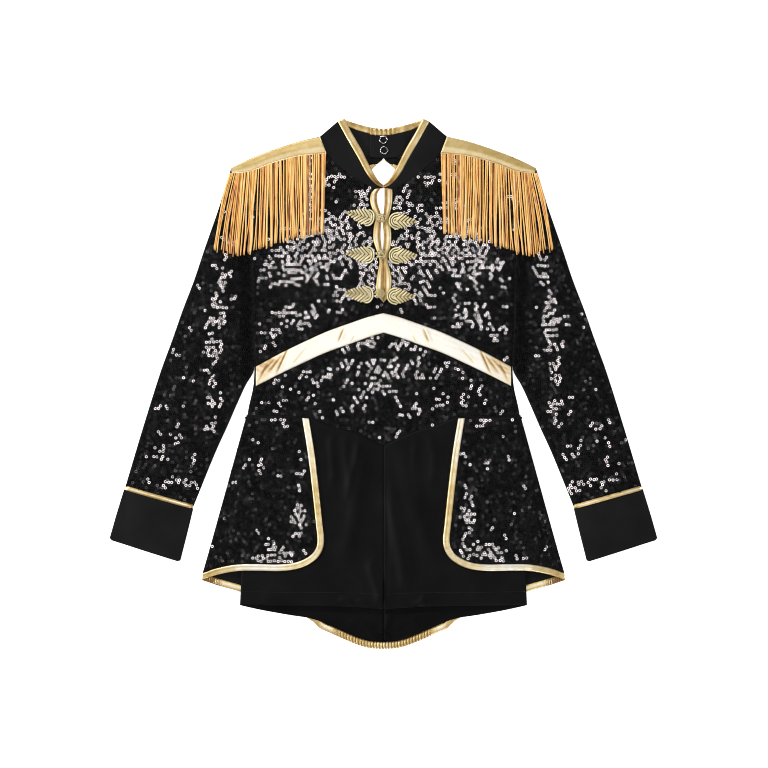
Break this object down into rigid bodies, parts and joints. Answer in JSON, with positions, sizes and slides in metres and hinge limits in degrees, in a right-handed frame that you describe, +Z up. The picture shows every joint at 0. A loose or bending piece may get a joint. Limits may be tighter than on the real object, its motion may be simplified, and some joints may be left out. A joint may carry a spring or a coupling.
{
  "type": "marching band uniform",
  "caption": "Child's black sequinned marching band romper laid flat, with gold bindings, fringed epaulettes, leaf frogs, a chevron belt, a tail skirt and plain shorts.",
  "frame": {"origin": "bottom centre of the bounding box, on the surface the garment lies on", "axes": "+Z up out of the surface through the thickness, +Y towards the neck, +X to the right as seen from above the front"},
  "size_m": [0.604, 0.5837, 0.0095],
  "materials": {
    "sequin_black": "glossy sequins on knit",
    "plain_black": "matte",
    "gold_binding": "metallic foil knit",
    "gold_belt": "metallic foil knit",
    "epaulette_gold": "matte metallic",
    "fringe_gold": "silky rayon strands",
    "cord_gold": "antique metallic cord",
    "snap_steel": "polished"
  },
  "bodies": {
    "root": {"back_left": "sequin_black", "back_right": "sequin_black", "keyhole_binding_left": "gold_binding", "keyhole_binding_right": "gold_binding", "collar_back_left": "plain_black", "collar_back_right": "plain_black", "neck_binding_back_left": "gold_binding", "neck_binding_back_right": "gold_binding", "snap_top": "snap_steel", "snap_bottom": "snap_steel", "collar_front_left": "plain_black", "collar_front_right": "plain_black", "neck_binding_front_left": "gold_binding", "neck_binding_front_right": "gold_binding", "front_left": "sequin_black", "front_right": "sequin_black", "placket_left": "gold_binding", "placket_right": "gold_binding", "belt": "gold_belt", "front_lower": "sequin_black", "frog1_leaf_left": "cord_gold", "frog1_leaf_right": "cord_gold", "frog1_knot": "cord_gold", "frog2_leaf_left": "cord_gold", "frog2_leaf_right": "cord_gold", "frog2_knot": "cord_gold", "frog3_leaf_left": "cord_gold", "frog3_leaf_right": "cord_gold", "frog3_knot": "cord_gold", "epaulette_left": "epaulette_gold", "epaulette_right": "epaulette_gold", "fringe_left": "fringe_gold", "fringe_right": "fringe_gold", "sleeve_left": "sequin_black", "sleeve_right": "sequin_black", "cuff_piping_left": "gold_binding", "cuff_piping_right": "gold_binding", "cuff_left": "plain_black", "cuff_right": "plain_black", "shorts_back_left": "plain_black", "shorts_back_right": "plain_black", "shorts_front_left": "plain_black", "shorts_front_right": "plain_black", "skirt_binding_left": "gold_binding", "skirt_binding_right": "gold_binding", "skirt_left": "sequin_black", "skirt_right": "sequin_black", "tail_binding": "gold_binding", "tail": "sequin_black"}
  },
  "joints": []
}
